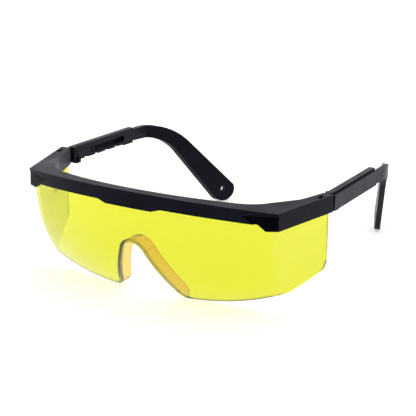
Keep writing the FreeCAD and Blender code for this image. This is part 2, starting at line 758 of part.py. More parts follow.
def make_tip():
    """Left temple tip: outer plate, stud, jaw and ear piece in one."""
    outer = "(plate_inner+plate_thickness)"
    low = "-temple_top-rail_height"
    blade = common(
        "ear_blade",
        prism("ear_from_above", "plan", ear_plan(), "-80", "10"),
        prism("ear_from_side", "side", ear_side(), "-60", "20"),
    )
    plate = prism(
        "plate", "side",
        [
            ("plate_front", "-temple_top-plate_sink"),
            ("plate_front", "-temple_top-plate_height"),
            ("plate_back", "-temple_top-plate_height"),
            ("plate_back+blade_gap", "-temple_top-blade_sink-blade_height+blade_step"),
            ("blade_front+blade_lap", "-temple_top-blade_sink-blade_height+blade_step"),
            ("blade_front+blade_lap", "-temple_top-blade_sink"),
            ("blade_front", "-temple_top-plate_sink"),
        ],
        "plate_inner", outer,
    )
    stud = block(
        "stud", ("-web_inner-stud_reach", "plate_inner"),
        ("stud_front", "stud_front+stud_length"),
        ("-stud_depth-stud_height", "-stud_depth"),
    )
    jaw_rear = "jaw_front+jaw_length"
    jaw_low = f"{low}-jaw_gap-jaw_thickness"
    lip = "-web_inner-jaw_gap"
    floor = block(
        "jaw_floor", (f"{lip}-jaw_thickness", outer), ("jaw_front", jaw_rear),
        (jaw_low, f"{low}-jaw_gap"),
    )
    catch = block(
        "jaw_lip", (f"{lip}-jaw_thickness", lip), ("barrel_radius+jaw_room", jaw_rear),
        (jaw_low, f"{low}-jaw_gap+jaw_rise"),
    )
    solid = fuse("tip_solid", blade, plate, stud, floor, catch)
    turned = "(cord_hole_back-ear_turn_back)*tan(ear_turn)"
    hole = rod(
        "cord_hole", "cord_hole_radius", "4*blade_thickness",
        FreeCAD.Vector(1, 0, 0), "0", "0", "0",
    )
    hole.Placement = FreeCAD.Placement(
        FreeCAD.Vector(),
        FreeCAD.Rotation(UP, number("ear_turn")) * FreeCAD.Rotation(UP, ACROSS),
    )
    place(
        hole, f"{outer}-{turned}-2.5*blade_thickness*cos(ear_turn)",
        "cord_hole_back-2.5*blade_thickness*sin(ear_turn)", "-cord_hole_depth",
    )
    return cut("tip_whole", solid, hole)


# ---- placing and writing -----------------------------------------------------

SETBACK = "((fold_back+tip_back*cos(temple_yaw)-front_bow)/2)"
LIFT = "(tip_bottom)"


def name_piece(item, label):
    item.Label = label
    return item


def stand_front(item):
    """Pitch a piece of the front about the tilt axis and stand it up."""
    item.Placement = FreeCAD.Placement(FreeCAD.Vector(), FreeCAD.Rotation(ACROSS, 1))
    item.setExpression("Placement.Rotation.Angle", bound("front_pitch"))
    turned_back = "(tilt_back*cos(front_pitch)+tilt_depth*sin(front_pitch))"
    turned_up = "(tilt_back*sin(front_pitch)-tilt_depth*cos(front_pitch))"
    place(item, "0", f"tilt_back-{turned_back}-{SETBACK}", f"-tilt_depth-{turned_up}+{LIFT}")


def stand_temple(item, yaw=True, down="0"):
    """Carry a piece of the left temple to its fold axis, turned inward."""
    if yaw:
        item.Placement = FreeCAD.Placement(FreeCAD.Vector(), FreeCAD.Rotation(UP, 1))
        item.setExpression("Placement.Rotation.Angle", bound("temple_yaw"))
    place(item, "fold_half", f"fold_back-{SETBACK}", f"{LIFT}-({down})")


pieces = []
for label, maker in (("brow_frame", make_brow), ("lens", make_lens)):
    piece = name_piece(maker(), label)
    stand_front(piece)
    pieces.append(piece)
for label, maker, turned, down in (
    ("hinge_block", make_hinge_block, False, "0"),
    ("hinge_pin", make_pin, False, "pin_top+pin_length"),
    ("temple_rail", make_rail, True, "0"),
    ("temple_tip", make_tip, True, "0"),
):
    piece = name_piece(maker(), f"{label}_left")
    stand_temple(piece, turned, down)
    twin = name_piece(mirror(f"{label}_twin", piece), f"{label}_right")
    pieces.extend([piece, twin])

doc.recompute()
for item in doc.Objects:
    if "Invalid" in item.State or "Error" in item.State:
        raise RuntimeError(f"{item.Name} failed: {item.State}")
for piece in pieces:
    if piece.Shape.isNull() or not piece.Shape.isValid():
        raise RuntimeError(f"{piece.Label} has no valid shape")
    if len(piece.Shape.Solids) != 1:
        raise RuntimeError(f"{piece.Label} is {len(piece.Shape.Solids)} solids")

os.makedirs("parts", exist_ok=True)
for piece in pieces:
    piece.Shape.exportStep(f"parts/{piece.Label}.step")
    box = piece.Shape.optimalBoundingBox(False)
    print(
        f"{piece.Label:18} {piece.Shape.Volume:9.1f} mm3  "
        f"X {box.XMin:7.2f} {box.XMax:7.2f}  Y {box.YMin:7.2f} {box.YMax:7.2f}  "
        f"Z {box.ZMin:6.2f} {box.ZMax:6.2f}"
    )
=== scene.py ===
"""A pair of safety glasses on a pale studio floor.

The yellow lens is modelled afresh as one polished moulding. The black nylon
pieces and the hinge pins are finished from copies of their CAD shapes, with
every hard edge rounded. Lengths are in metres and angles in radians.
"""

import json
import logging
import math
from dataclasses import dataclass, field
from enum import Enum, auto
from typing import Any

import bmesh
import bpy
from mathutils import Matrix, Quaternion, Vector


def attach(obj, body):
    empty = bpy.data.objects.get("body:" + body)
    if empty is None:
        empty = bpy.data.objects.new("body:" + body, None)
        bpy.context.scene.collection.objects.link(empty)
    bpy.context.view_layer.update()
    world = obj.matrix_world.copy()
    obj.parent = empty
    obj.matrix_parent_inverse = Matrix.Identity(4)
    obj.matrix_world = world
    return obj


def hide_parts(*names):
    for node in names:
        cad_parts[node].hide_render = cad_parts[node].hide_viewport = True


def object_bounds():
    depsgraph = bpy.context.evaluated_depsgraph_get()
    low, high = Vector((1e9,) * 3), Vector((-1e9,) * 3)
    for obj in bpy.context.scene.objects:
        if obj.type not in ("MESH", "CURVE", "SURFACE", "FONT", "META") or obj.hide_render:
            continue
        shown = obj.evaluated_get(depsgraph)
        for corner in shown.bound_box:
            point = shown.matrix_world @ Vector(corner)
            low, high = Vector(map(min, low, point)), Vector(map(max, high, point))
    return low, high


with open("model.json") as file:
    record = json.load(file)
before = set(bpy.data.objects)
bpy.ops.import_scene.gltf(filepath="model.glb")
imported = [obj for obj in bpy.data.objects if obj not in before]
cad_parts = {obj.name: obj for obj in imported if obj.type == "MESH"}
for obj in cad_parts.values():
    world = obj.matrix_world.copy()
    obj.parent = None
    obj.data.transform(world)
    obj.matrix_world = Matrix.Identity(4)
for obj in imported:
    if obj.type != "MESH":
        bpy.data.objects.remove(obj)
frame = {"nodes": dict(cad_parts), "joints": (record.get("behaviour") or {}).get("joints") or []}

CAD_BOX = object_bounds()
LOG = logging.getLogger("safety_glasses")
MM = 0.001


class Side(Enum):
    """Which temple a piece belongs to."""

    LEFT = "left"
    RIGHT = "right"


class Finish(Enum):
    """Which finish a surface has."""

    FRAME = auto()
    RECESS = auto()
    TEMPLE = auto()
    BLOCK = auto()
    PIN = auto()
    LENS = auto()
    LENS_EDGE = auto()


def clamped(value: float) -> float:
    """Return a value held between 0 and 1."""
    return min(max(value, 0.0), 1.0)


def linear(hex_colour: str) -> tuple[float, float, float, float]:
    """Turn an sRGB hex colour into linear light by the sRGB standard's curve.

    Args:
        hex_colour: Six hex digits with a leading hash.

    Returns:
        Red, green, blue and an alpha of 1.
    """
    straight_end, straight_slope, offset, power = 0.04045, 12.92, 0.055, 2.4
    channels = []
    for start in (1, 3, 5):
        value = int(hex_colour[start : start + 2], 16) / 255
        if value <= straight_end:
            channels.append(value / straight_slope)
        else:
            channels.append(((value + offset) / (1 + offset)) ** power)
    return (channels[0], channels[1], channels[2], 1.0)


def add_node(
    tree: bpy.types.NodeTree,
    kind: str,
    settings: dict[str, Any] | None = None,
    sockets: dict[str | int, Any] | None = None,
) -> bpy.types.Node:
    """Add a node with its settings and its sockets' values or links.

    Args:
        tree: The node tree that gets the node.
        kind: The node's type, such as ShaderNodeBsdfPrincipled.
        settings: The node's own properties.
        sockets: A value, or an output socket to link, for each named input.

    Returns:
        The new node.
    """
    node = tree.nodes.new(kind)
    for name, value in (settings or {}).items():
        setattr(node, name, value)
    for name, value in (sockets or {}).items():
        if isinstance(value, bpy.types.NodeSocket):
            tree.links.new(value, node.inputs[name])
        else:
            node.inputs[name].default_value = value
    return node


def empty_material(name: str) -> tuple[bpy.types.Material, bpy.types.NodeTree]:
    """Make a material with an empty node tree.

    Args:
        name: The material's name.

    Returns:
        The material and its tree.
    """
    material = bpy.data.materials.new(name)
    material.use_nodes = True
    material.node_tree.nodes.clear()
    return material, material.node_tree


# ---- finishes --------------------------------------------------------------


@dataclass(frozen=True)
class MouldedNylon:
    """Black nylon straight from a steel mould.

    The mould's fine spark-eroded grain scatters the light, so the faces are
    satin and the grazing ones pick up a blue-grey sheen. Handling polishes
    patches of it a little smoother than the rest.
    """

    name: str
    colour: str = "#0c0c11"
    rubbed_colour: str = "#111119"
    roughness: float = 0.4
    rubbed_roughness: float = 0.33
    # A rubbed patch is as wide as a fingertip.
    patch: float = 14 * MM
    patch_start: float = 0.42
    patch_full: float = 0.62
    # The real grain is about 0.1 mm wide, and is drawn coarser so that it shows.
    grain: float = 0.45 * MM
    grain_depth: float = 0.012 * MM
    grain_strength: float = 0.5
    ior: float = 1.53
    specular: float = 0.09
    tint: str = "#C4CCF0"
    sheen: float = 0.09
    sheen_roughness: float = 0.35
    sheen_tint: str = "#7C8CD8"

    def material(self) -> bpy.types.Material:
        """Build the material.

        Returns:
            The material.
        """
        material, tree = empty_material(self.name)
        place = add_node(tree, "ShaderNodeTexCoord").outputs["Object"]
        patches = add_node(
            tree, "ShaderNodeTexNoise", None,
            {
                "Vector": place, "Scale": 1 / self.patch,
                "Detail": 3.0, "Roughness": 0.55,
            },
        ).outputs["Fac"]
        rubbed = add_node(
            tree, "ShaderNodeMapRange", {"interpolation_type": "SMOOTHSTEP"},
            {
                "Value": patches,
                "From Min": self.patch_start, "From Max": self.patch_full,
            },
        ).outputs["Result"]
        colour = add_node(tree, "ShaderNodeValToRGB", None, {"Fac": rubbed})
        colour.color_ramp.elements[0].color = linear(self.colour)
        colour.color_ramp.elements[1].color = linear(self.rubbed_colour)
        roughness = add_node(
            tree, "ShaderNodeMapRange", None,
            {
                "Value": rubbed,
                "To Min": self.roughness, "To Max": self.rubbed_roughness,
            },
        ).outputs["Result"]
        grain = add_node(
            tree, "ShaderNodeTexNoise", None,
            {
                "Vector": place, "Scale": 1 / self.grain,
                "Detail": 2.0, "Roughness": 0.6,
            },
        ).outputs["Fac"]
        bump = add_node(
            tree, "ShaderNodeBump", None,
            {
                "Height": grain, "Strength": self.grain_strength,
                "Distance": self.grain_depth,
            },
        ).outputs["Normal"]
        shader = add_node(
            tree, "ShaderNodeBsdfPrincipled", None,
            {
                "Base Color": colour.outputs["Color"], "Roughness": roughness,
                "Normal": bump, "IOR": self.ior,
                "Specular IOR Level": self.specular,
                "Specular Tint": linear(self.tint), "Sheen Weight": self.sheen,
                "Sheen Roughness": self.sheen_roughness,
                "Sheen Tint": linear(self.sheen_tint),
            },
        )
        add_node(
            tree, "ShaderNodeOutputMaterial", None,
            {"Surface": shader.outputs["BSDF"]},
        )
        return material


@dataclass(frozen=True)
class TintedPolycarbonate:
    """Yellow polycarbonate, injection moulded in a mirror-polished tool.

    It is clear and glossy. Light that runs inside it to an edge crosses much
    more dyed plastic, so rims and the nose arch turn deep amber; that amber is
    painted into the rim's colour as painted light.
    """

    name: str = "tinted_polycarbonate_polished"
    colour: str = "#DCDE08"
    # Painted light: the amber painted along the rim for light that runs through more dyed
    # plastic.
    painted_amber_colour: str = "#FFC400"
    roughness: float = 0.02
    smudge_roughness: float = 0.05
    # A smudge is as wide as a thumb print.
    smudge: float = 18 * MM
    smudge_start: float = 0.5
    smudge_full: float = 0.72
    # The flow streaks in the rim's painted amber are about as wide as the wall is thick.
    streak: float = 2.2 * MM
    streak_start: float = 0.3
    streak_full: float = 0.7
    least_painted_amber: float = 0.6
    ior: float = 1.585

    def material(self) -> bpy.types.Material:
        """Build the material.

        Returns:
            The material.
        """
        material, tree = empty_material(self.name)
        place = add_node(tree, "ShaderNodeTexCoord").outputs["Object"]
        smudges = add_node(
            tree, "ShaderNodeTexNoise", None,
            {
                "Vector": place, "Scale": 1 / self.smudge,
                "Detail": 4.0, "Roughness": 0.6,
            },
        ).outputs["Fac"]
        roughness = add_node(
            tree, "ShaderNodeMapRange", {"interpolation_type": "SMOOTHSTEP"},
            {
                "Value": smudges,
                "From Min": self.smudge_start, "From Max": self.smudge_full,
                "To Min": self.roughness, "To Max": self.smudge_roughness,
            },
        ).outputs["Result"]
        shader = add_node(
            tree, "ShaderNodeBsdfPrincipled", None,
            {
                "Base Color": self.dye_and_painted_amber(tree, place), "Roughness": roughness,
                "IOR": self.ior, "Transmission Weight": 1.0,
            },
        )
        add_node(
            tree, "ShaderNodeOutputMaterial", None,
            {"Surface": shader.outputs["BSDF"]},
        )
        return material

    def dye_and_painted_amber(
        self, tree: bpy.types.NodeTree, place: bpy.types.NodeSocket
    ) -> bpy.types.NodeSocket:
        """Paint the rim a deeper amber, in faint flow streaks, as painted light for the longer
        path through dyed plastic.

        Args:
            tree: The material's node tree.
            place: The socket that gives the place on the piece.

        Returns:
            The socket that gives the colour.
        """
        # Painted light: the rim is painted from the yellow towards amber where light would run
        # through more dyed plastic.
        amber = add_node(
            tree, "ShaderNodeAttribute", {"attribute_name": "amber"}
        ).outputs["Fac"]
        streaks = add_node(
            tree, "ShaderNodeTexNoise", None,
            {
                "Vector": place, "Scale": 1 / self.streak,
                "Detail": 2.0, "Roughness": 0.5,
            },
        ).outputs["Fac"]
        strength = add_node(
            tree, "ShaderNodeMapRange", None,
            {
                "Value": streaks,
                "From Min": self.streak_start, "From Max": self.streak_full,
                "To Min": self.least_painted_amber, "To Max": 1.0,
            },
        ).outputs["Result"]
        amount = add_node(
            tree, "ShaderNodeMath", {"operation": "MULTIPLY"},
            {0: amber, 1: strength},
        ).outputs["Value"]
        ramp = add_node(tree, "ShaderNodeValToRGB", None, {"Fac": amount})
        ramp.color_ramp.elements[0].color = linear(self.colour)
        ramp.color_ramp.elements[1].color = linear(self.painted_amber_colour)
        return ramp.outputs["Color"]


@dataclass(frozen=True)
class DrawnSteel:
    """Cold-drawn steel wire cut to length: bright, with fine lines along it."""

    name: str = "drawn_steel_pin"
    colour: str = "#B4B6BA"
    roughness: float = 0.28
    # Real drawing lines are a few hundredths of a millimetre wide, and are
    # drawn coarser so that they show.
    line: float = 0.15 * MM
    line_stretch: float = 0.05
    line_smoother: float = 0.08
    line_rougher: float = 0.1

    def material(self) -> bpy.types.Material:
        """Build the material.

        Returns:
            The material.
        """
        material, tree = empty_material(self.name)
        place = add_node(tree, "ShaderNodeTexCoord").outputs["Object"]
        across, along = 1 / self.line, self.line_stretch / self.line
        stretched = add_node(
            tree, "ShaderNodeMapping", None,
            {"Vector": place, "Scale": (across, across, along)},
        ).outputs["Vector"]
        lines = add_node(
            tree, "ShaderNodeTexNoise", None,
            {"Vector": stretched, "Scale": 1.0, "Detail": 2.0},
        ).outputs["Fac"]
        roughness = add_node(
            tree, "ShaderNodeMapRange", None,
            {
                "Value": lines,
                "To Min": self.roughness - self.line_smoother,
                "To Max": self.roughness + self.line_rougher,
            },
        ).outputs["Result"]
        shader = add_node(
            tree, "ShaderNodeBsdfPrincipled", None,
            {
                "Base Color": linear(self.colour), "Roughness": roughness,
                "Metallic": 1.0,
            },
        )
        add_node(
            tree, "ShaderNodeOutputMaterial", None,
            {"Surface": shader.outputs["BSDF"]},
        )
        return material


FINISHES: dict[Finish, MouldedNylon | DrawnSteel | TintedPolycarbonate] = {
    # Satin black, with a blue-grey bloom where the light grazes it.
    Finish.FRAME: MouldedNylon("moulded_nylon_satin"),
    # The polished part of the mould, in the sunk corner faces: smoother, and painted deep black
    # without the bloom as painted shade of the recess.
    Finish.RECESS: MouldedNylon(
        "moulded_nylon_polished_painted_shade", colour="#020203", rubbed_colour="#040406",
        roughness=0.14, rubbed_roughness=0.1, grain_depth=0.002 * MM,
        specular=0.03, sheen=0.0,
    ),
    # The same satin black, rubbed in longer patches by hands and hair.
    Finish.TEMPLE: MouldedNylon("moulded_nylon_temple", patch=20 * MM),
    # Little handled, so the dullest of the black pieces.
    Finish.BLOCK: MouldedNylon("moulded_nylon_hinge", roughness=0.45),
    # A bright line of metal at the ends of each fold hinge.
    Finish.PIN: DrawnSteel(),
    # Clear, bright yellow, with painted amber light along the rim where the light runs along the
    # wall.
    Finish.LENS: TintedPolycarbonate(),
    # The cut edge: matt, and painted dark as painted shade of the light lost inside it by
    # internal reflection.
    Finish.LENS_EDGE: TintedPolycarbonate(
        "tinted_polycarbonate_edge_painted_dark", colour="#C89A18", painted_amber_colour="#8A7408",
        roughness=0.12, smudge_roughness=0.2,
    ),
}


# ---- pieces ----------------------------------------------------------------


def place_piece(
    piece: bpy.types.Object,
    material: bpy.types.Material,
    body: str,
    node: str,
) -> None:
    """Dress a finished piece, let it ride on its body and stand for its node.

    Args:
        piece: The finished object.
        material: Its material.
        body: The body that it moves with.
        node: The frame's node that it stands for.
    """
    piece.data.materials.append(material)
    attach(piece, body)
    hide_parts(node)


def link_mesh(name: str, shape: bmesh.types.BMesh) -> bpy.types.Object:
    """Turn a bmesh into an object in the scene.

    Args:
        name: The object's name.
        shape: The bmesh, which is freed.

    Returns:
        The object.
    """
    mesh = bpy.data.meshes.new(name)
    shape.to_mesh(mesh)
    shape.free()
    piece = bpy.data.objects.new(name, mesh)
    bpy.context.scene.collection.objects.link(piece)
    return piece


@dataclass
class MouldedPiece:
    """A hard piece whose sharp edges are rounded as a mould rounds them.

    The flat angle is the most that two faces turn where they are merged into
    one, the hard angle the least where an edge is rounded, and the crisp angle
    the least where the shading breaks.
    """

    node: str
    body: str
    slot: str
    finish: Finish
    edge: float = 0.22 * MM
    edge_steps: int = 2
    merge: float = 0.002 * MM
    flat_angle: float = math.radians(0.4)
    hard_angle: float = math.radians(28)
    crisp_angle: float = math.radians(50)

    def build(
        self, materials: dict[Finish, bpy.types.Material]
    ) -> bpy.types.Object:
        """Round the node's edges on a copy and put it in the node's place.

        Args:
            materials: The material of each finish.

        Returns:
            The finished object.
        """
        shape = bmesh.new()
        shape.from_mesh(frame["nodes"][self.node].data)
        bmesh.ops.remove_doubles(shape, verts=shape.verts, dist=self.merge)
        bmesh.ops.dissolve_limit(
            shape, angle_limit=self.flat_angle,
            verts=shape.verts, edges=shape.edges,
        )
        hard = [
            edge for edge in shape.edges
            if edge.is_manifold and edge.calc_face_angle() > self.hard_angle
        ]
        bmesh.ops.bevel(
            shape, geom=hard, offset=self.edge, offset_type="OFFSET",
            segments=self.edge_steps, profile=0.5, affect="EDGES",
            clamp_overlap=True, material=-1,
        )
        self.pick_polished_and_shaded(shape)
        for face in shape.faces:
            face.smooth = True
        for edge in shape.edges:
            turned = edge.calc_face_angle() if edge.is_manifold else math.pi
            edge.smooth = turned < self.crisp_angle
        piece = link_mesh(f"{self.node}_moulding", shape)
        normals = piece.modifiers.new("even_normals", "WEIGHTED_NORMAL")
        normals.keep_sharp = True
        place_piece(
            piece, materials[self.finish], self.body, self.node
        )
        return piece

    def pick_polished_and_shaded(self, shape: bmesh.types.BMesh) -> None:
        """Give no face a second finish; a piece that has one overrides this."""


@dataclass(frozen=True)
class Station:
    """One upright column of the lens's grid.

    across is its distance out on the front, along its share of the way along
    the shield, and turn its share of the way round the bend, if it is in it.
    """

    across: float
    along: float = 0.0
    turn: float | None = None


@dataclass
class Lens:
    """The lens: front, side shields and the rim of the nose arch in one sheet.

    The sizes are the lens's own, in the frame of the front: X from the middle,
    Y back and Z up from the top front corners of the brow.
    """

    thickness: float = 1.8 * MM
    # The front's bow and its upper edge.
    front_half: float = 65.0 * MM
    front_bow: float = 18.0 * MM
    inset: float = 1.5 * MM
    brow_rise: float = 4.5 * MM
    top_down: float = 1.3 * MM
    # Below the straight part the face rolls back and the bends lean in.
    half: float = 62.0 * MM
    lean: float = 0.06
    lean_start: float = 0.6
    straight: float = 8.3 * MM
    roll: float = 43.0 * MM
    # The side shields, with a step down under each side arm.
    shield_half: float = 71.2 * MM
    shield_back: float = 38.2 * MM
    shield_bottom: float = 36.4 * MM
    shield_rise_back: float = 17.5 * MM
    shield_round: float = 5.0 * MM
    step_back: float = 24.4 * MM
    step_down: float = 8.3 * MM
    # The lower edge: nose arch, foot, cheek and bend.
    nose_top: float = 20.5 * MM
    nose_radius: float = 5.6 * MM
    nose_slope: float = math.radians(23.5)
    foot_radius: float = 5.0 * MM
    bottom: float = 49.4 * MM
    cheek_radius: float = 115.0 * MM
    bend_bottom: float = 42.3 * MM
    bend_run: float = 3.2 * MM
    # The rim beside the nose, which fades out under the foot.
    rim_reach: float = 9.0 * MM
    rim_steps: int = 5
    rim_fade_run: float = 1.5 * MM
    rim_fade: float = 0.96
    rim_edge: float = 0.7 * MM
    rim_edge_steps: int = 3
    rim_slack: float = 0.01 * MM
    # Painted amber light: how far behind the front face it is full, and how far past the foot it
    # reaches.
    amber_depth: float = 2.0 * MM
    amber_margin: float = 1.0 * MM
    # Rounding of the finished wall's edges.
    edge: float = 0.25 * MM
    edge_steps: int = 2
    edge_angle: float = math.radians(50)
    # The tilt axis in the front's frame, and the front's lean about it.
    tilt_back: float = 34.5 * MM
    tilt_depth: float = 4.4 * MM
    pitch: float = math.radians(1.8)
    # The grid: rows, and columns of each stretch of a half.
    rows: int = 44
    top_columns: int = 10
    side_columns: int = 26
    foot_columns: int = 10
    cheek_columns: int = 34
    bend_columns: int = 8
    shield_columns: int = 22
    shield_passes: int = 8

    def __post_init__(self) -> None:
        """Work out the radii and turning points that follow from the sizes."""
        self.front_radius = self.radius_of(self.front_half, self.front_bow)
        self.top_radius = self.radius_of(self.front_half, self.brow_rise)
        across, up = math.cos(self.nose_slope), 1 - math.sin(self.nose_slope)
        self.arch_half = self.nose_radius * across
        self.arch_depth = self.nose_top + self.nose_radius * up
        self.foot_depth = self.bottom - self.foot_radius * up
        drop = self.foot_depth - self.arch_depth
        self.foot_half = self.arch_half + drop * math.tan(self.nose_slope)
        self.cheek_half = self.foot_half + self.foot_radius * across
        self.bend_half = self.bend_at(self.bend_bottom)
        self.bend_share = self.bend_run / (self.shield_back - self.bend_run)
        self.cheek_centre = self.centre_over(
            Vector((self.cheek_half, -self.bottom)),
            Vector((self.bend_half, -self.bend_bottom)),
        )

    @staticmethod
    def radius_of(half_chord: float, rise: float) -> float:
        """Return the radius of an arc from half its chord and its rise."""
        return (half_chord**2 + rise**2) / (2 * rise)

    def centre_over(self, start: Vector, end: Vector) -> Vector:
        """Find the centre of the cheek's arc, which lies above its ends.

        Args:
            start: The arc's inner end.
            end: Its outer end.

        Returns:
            The centre.
        """
        chord = end - start
        left = Vector((-chord.y, chord.x)).normalized()
        rise = math.sqrt(self.cheek_radius**2 - (chord.length / 2) ** 2)
        return (start + end) / 2 + left * rise

    def bend_at(self, depth: float) -> float:
        """Return the half width across the bends at a depth."""
        return self.half - self.lean * max(depth - self.straight, 0.0)

    def front_at(self, across: float, depth: float) -> float:
        """Find how far back the lens's front face is.

        Args:
            across: The distance from the middle.
            depth: The distance down.

        Returns:
            The distance back.
        """
        roll = max(depth - self.straight, 0.0) ** 2 / (2 * self.roll)
        flat = math.sqrt(self.front_radius**2 - across**2)
        return self.inset + roll - self.front_bow + (self.front_radius - flat)

    def lower_edge(self, across: float) -> float:
        """Find the depth of the front's lower edge.

        Args:
            across: The distance from the middle.

        Returns:
            The depth on the arch, its side, the foot or the cheek.
        """
        if across <= self.arch_half:
            rise = math.sqrt(self.nose_radius**2 - across**2)
            return self.nose_top + (self.nose_radius - rise)
        if across <= self.foot_half:
            out = across - self.arch_half
            return self.arch_depth + out / math.tan(self.nose_slope)
        if across <= self.cheek_half:
            inward = self.cheek_half - across
            drop = math.sqrt(max(self.foot_radius**2 - inward**2, 0.0))
            return self.bottom - (self.foot_radius - drop)
        out = across - self.cheek_centre.x
        return math.sqrt(self.cheek_radius**2 - out**2) - self.cheek_centre.y

    def shield_edge(self, back: float) -> float:
        """Find the depth of a shield's lower edge.

        Args:
            back: The distance back.

        Returns:
            The depth on the rising edge or on its round rear corner.
        """
        start = self.shield_rise_back
        turn = self.shield_back - self.shield_round
        if back <= turn:
            share = max(back - start, 0.0) / (turn - start)
            rise = self.shield_bottom - self.bend_bottom
            return self.bend_bottom + rise * share
        along = min(back - turn, self.shield_round)
        drop = math.sqrt(self.shield_round**2 - along**2)
        return self.shield_bottom - self.shield_round + drop

    def stations(self) -> list[Station]:
        """List the columns from the middle to the rear of a shield.

        Returns:
            The columns of one half, in order.
        """
        bend_start = self.bend_half - self.bend_run
        spans = (
            (0.0, self.arch_half, self.top_columns),
            (self.arch_half, self.foot_half, self.side_columns),
            (self.foot_half, self.cheek_half, self.foot_columns),
            (self.cheek_half, bend_start, self.cheek_columns),
        )
        front = [
            Station(low + (high - low) * index / count)
            for low, high, count in spans
            for index in range(count)
        ]
        bend = [
            Station(self.bend_half, 0.0, index / self.bend_columns)
            for index in range(self.bend_columns)
        ]
        first, count = self.bend_share, self.shield_columns
        shield = [
            Station(self.bend_half, first + (1 - first) * index / count)
            for index in range(count + 1)
        ]
        return front + bend + shield

    def spot(self, station: Station, share: float) -> Vector:
        """Find a point of the front face, with its bends rounded.

        Args:
            station: The column.
            share: How far down the column the point is, from 0 to 1.

        Returns:
            The point, in the frame of the front.
        """
        if station.turn is None:
            return self.flat_spot(station, share)
        before, corner, after = (
            self.flat_spot(column, share)
            for column in (
                Station(self.bend_half - self.bend_run),
                Station(self.bend_half, 0.0),
                Station(self.bend_half, self.bend_share),
            )
        )
        inner = before.lerp(corner, station.turn)
        return inner.lerp(corner.lerp(after, station.turn), station.turn)

    def flat_spot(self, station: Station, share: float) -> Vector:
        """Find a point of the face as it is with sharp bends.

        Args:
            station: The column.
            share: How far down the column the point is, from 0 to 1.

        Returns:
            The point, in the frame of the front.
        """
        top, low = self.column_ends(station.across, station.along)
        depth = top + (low - top) * share
        bend = self.bend_at(depth)
        if station.along == 0.0:
            reach = station.across / self.bend_half - self.lean_start
            near = clamped(reach / (1 - self.lean_start))
            out = station.across + (bend - self.bend_half) * near
            return Vector((out, self.front_at(out, depth), -depth))
        corner = self.front_at(bend, depth)
        return Vector((
            bend + (self.shield_half - bend) * station.along,
            corner + (self.shield_back - corner) * station.along,
            -depth,
        ))

    def column_ends(self, across: float, along: float) -> tuple[float, float]:
        """Find the depths of a column's top and bottom.

        Args:
            across: The column's distance out on the front.
            along: Its share of the way along the shield.

        Returns:
            The two depths.
        """
        if along == 0.0:
            arch = self.top_radius - math.sqrt(self.top_radius**2 - across**2)
            return self.top_down - self.brow_rise + arch, self.lower_edge(across)
        # A shield column leans with the bend, so its foot is found in passes.
        low = self.bend_bottom
        for _ in range(self.shield_passes):
            corner = self.front_at(self.bend_at(low), low)
            low = self.shield_edge(corner + (self.shield_back - corner) * along)
        corner = self.front_at(self.half, 0.0)
        back = corner + (self.shield_back - corner) * along
        return (self.top_down if back < self.step_back else self.step_down), low

    def sheet(self) -> bmesh.types.BMesh:
        """Shape a grid into the front face of the lens and both shields.

        Returns:
            The sheet, with its faces turned to the front.
        """
        half = self.stations()
        stations = [(-1.0, station) for station in reversed(half[1:])]
        stations += [(1.0, station) for station in half]
        last = len(stations) - 1
        shape = bmesh.new()
        made = bmesh.ops.create_grid(
            shape, x_segments=last, y_segments=self.rows, size=0.5
        )
        for vert in made["verts"]:
            side, station = stations[round((vert.co.x + 0.5) * last)]
            spot = self.spot(station, 0.5 - vert.co.y)
            vert.co = Vector((side * spot.x, spot.y, spot.z))
        middle = min(shape.faces, key=lambda f: f.calc_center_median().length)
        middle.normal_update()
        if middle.normal.y > 0:
            bmesh.ops.reverse_faces(shape, faces=shape.faces)
        return shape

    def beside_nose(self, edge: bmesh.types.BMEdge) -> bool:
        """Say whether an edge is on the lower border beside the nose.

        Args:
            edge: An edge of the sheet.

        Returns:
            Whether it lies between the nose arch and the end of the foot.
        """
        out = self.cheek_half + self.rim_slack
        top = -self.nose_top + self.rim_slack
        return edge.is_boundary and all(
            abs(vert.co.x) <= out and vert.co.z < top for vert in edge.verts
        )

    def add_rim(self, shape: bmesh.types.BMesh) -> None:
        """Carry the lower edge beside the nose straight back as a rim.

        Args:
            shape: The sheet.
        """
        lip = [edge for edge in shape.edges if self.beside_nose(edge)]
        corner = [
            edge for edge in lip
            if all(abs(vert.co.x) < self.foot_half for vert in edge.verts)
        ]
        step = self.rim_reach / self.rim_steps
        for _ in range(self.rim_steps):
            made = bmesh.ops.extrude_edge_only(shape, edges=lip)["geom"]
            verts = [g for g in made if isinstance(g, bmesh.types.BMVert)]
            edges = [g for g in made if isinstance(g, bmesh.types.BMEdge)]
            for vert in verts:
                vert.co.y += step * self.rim_share(abs(vert.co.x))
            lip = [
                edge for edge in edges
                if edge.is_boundary and all(vert in verts for vert in edge.verts)
            ]
        bmesh.ops.bevel(
            shape, geom=corner, offset=self.rim_edge, offset_type="OFFSET",
            segments=self.rim_edge_steps, profile=0.5, affect="EDGES",
            clamp_overlap=True, material=-1,
        )

    def rim_share(self, across: float) -> float:
        """Find the rim's depth as a share of its most.

        Args:
            across: The distance from the middle.

        Returns:
            The share, which fades smoothly under the foot.
        """
        start = self.foot_half - self.rim_fade_run
        fade = clamped((across - start) / (self.cheek_half - start))
        return 1.0 - self.rim_fade * fade * fade * (3 - 2 * fade)

    def paint_amber(self, shape: bmesh.types.BMesh) -> None:
        """Store how far behind the front face each point of the rim is, as the mask of the
        painted amber light.

        Args:
            shape: The sheet with its rim.
        """
        amber = shape.verts.layers.float.new("amber")
        for vert in shape.verts:
            across = abs(vert.co.x)
            behind = vert.co.y - self.front_at(across, -vert.co.z)
            near = across < self.cheek_half + self.amber_margin
            vert[amber] = clamped(behind / self.amber_depth) if near else 0.0

